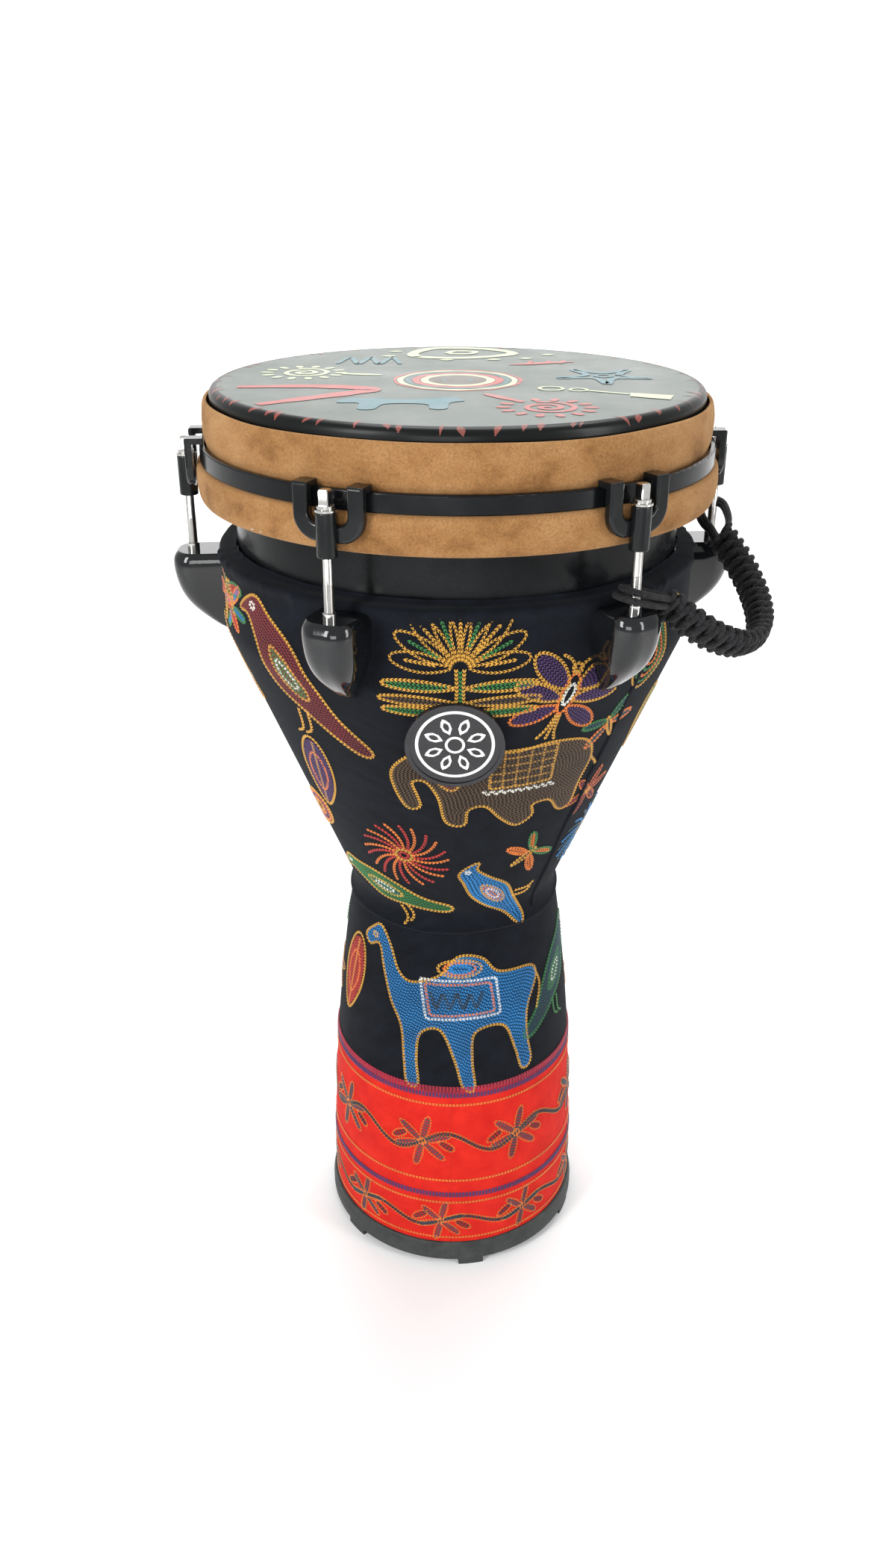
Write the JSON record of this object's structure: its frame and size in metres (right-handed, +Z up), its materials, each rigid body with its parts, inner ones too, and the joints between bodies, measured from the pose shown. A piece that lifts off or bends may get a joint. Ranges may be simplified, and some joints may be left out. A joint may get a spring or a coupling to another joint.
{
  "type": "djembe",
  "caption": "Goblet hand drum with moulded shell, embroidered cloth skin, suede-collared head, key-tuned rods and claws, rubber foot and cord handle.",
  "frame": {"origin": "on the floor on the drum's axis, under the middle of the foot ring", "axes": "+Z up along the drum's axis; -Y is the badge side, +X towards the cord handle"},
  "size_m": [0.3765, 0.3388, 0.645],
  "materials": {
    "shell": "moulded glass-fibre shell, black gel coat, semi-gloss",
    "cloth": "black cotton, chain-stitch embroidery in many colours",
    "border": "red cotton border with embroidered vine",
    "rubber": "matt dark rubber",
    "film": "printed polyester film, satin",
    "suede": "tan suede nap",
    "hoop": "black enamel on steel",
    "claw": "black enamel on steel, glossy",
    "lug": "black enamel on die casting, high gloss",
    "chrome": "bright chrome plate",
    "steel": "zinc plated steel",
    "aluminium": "mill finish",
    "badge": "black moulded base",
    "badge_print": "printed plate under clear dome",
    "cord": "black braided nylon cord"
  },
  "bodies": {
    "shell": {"shell": "shell", "bowl_cloth": "cloth", "stem_cloth": "cloth", "border_cloth": "border", "foot_ring": "rubber", "drumhead": "film", "lug_1": "lug", "lug_2": "lug", "lug_3": "lug", "lug_4": "lug", "lug_5": "lug", "lug_6": "lug", "lug_nuts": "chrome", "lug_screws": "steel", "lug_screw_washers": "steel", "badge_base": "badge", "badge_face": "badge_print", "badge_rim": "chrome"},
    "tuning_hoop": {"counterhoop": "hoop", "flesh_hoop": "aluminium", "suede_wrap": "suede", "claw_1": "claw", "claw_2": "claw", "claw_3": "claw", "claw_4": "claw", "claw_5": "claw", "claw_6": "claw", "rod_washers": "chrome"},
    "rod_1": {"tension_rod_1": "chrome"},
    "rod_2": {"tension_rod_2": "chrome"},
    "rod_3": {"tension_rod_3": "chrome"},
    "rod_4": {"tension_rod_4": "chrome"},
    "rod_5": {"tension_rod_5": "chrome"},
    "rod_6": {"tension_rod_6": "chrome"},
    "handle": {"handle_braid": "cord", "handle_loop_front": "cord", "handle_loop_back": "cord"}
  },
  "joints": [
    {"name": "tuning", "type": "slide", "parent": "shell", "child": "tuning_hoop", "axis": [0, 0, 1], "range_m": [-0.002, 0.002]},
    {"name": "rod_turn_1", "type": "hinge", "parent": "tuning_hoop", "child": "rod_1", "pos_m": [-0.06894, -0.15485, 0.6], "axis": [0, 0, 1], "range_deg": [-721, 721]},
    {"name": "rod_turn_2", "type": "hinge", "parent": "tuning_hoop", "child": "rod_2", "pos_m": [0.09963, -0.13713, 0.6], "axis": [0, 0, 1], "range_deg": [-721, 721]},
    {"name": "rod_turn_3", "type": "hinge", "parent": "tuning_hoop", "child": "rod_3", "pos_m": [0.16857, 0.01772, 0.6], "axis": [0, 0, 1], "range_deg": [-721, 721]},
    {"name": "rod_turn_4", "type": "hinge", "parent": "tuning_hoop", "child": "rod_4", "pos_m": [0.06894, 0.15485, 0.6], "axis": [0, 0, 1], "range_deg": [-721, 721]},
    {"name": "rod_turn_5", "type": "hinge", "parent": "tuning_hoop", "child": "rod_5", "pos_m": [-0.09963, 0.13713, 0.6], "axis": [0, 0, 1], "range_deg": [-721, 721]},
    {"name": "rod_turn_6", "type": "hinge", "parent": "tuning_hoop", "child": "rod_6", "pos_m": [-0.16857, -0.01772, 0.6], "axis": [0, 0, 1], "range_deg": [-721, 721]},
    {"name": "handle_swing", "type": "hinge", "parent": "shell", "child": "handle", "pos_m": [0.1341, -0.05971, 0.55625], "axis": [-0.4061, -0.9121, -0.056], "range_deg": [0, 80], "deforming": ["handle_loop_front", "handle_loop_back"]}
  ],
  "couplings": [
    {"joint": "rod_turn_1", "follows": "tuning", "rad_per_m": 6283.2},
    {"joint": "rod_turn_2", "follows": "tuning", "rad_per_m": 6283.2},
    {"joint": "rod_turn_3", "follows": "tuning", "rad_per_m": 6283.2},
    {"joint": "rod_turn_4", "follows": "tuning", "rad_per_m": 6283.2},
    {"joint": "rod_turn_5", "follows": "tuning", "rad_per_m": 6283.2},
    {"joint": "rod_turn_6", "follows": "tuning", "rad_per_m": 6283.2}
  ]
}
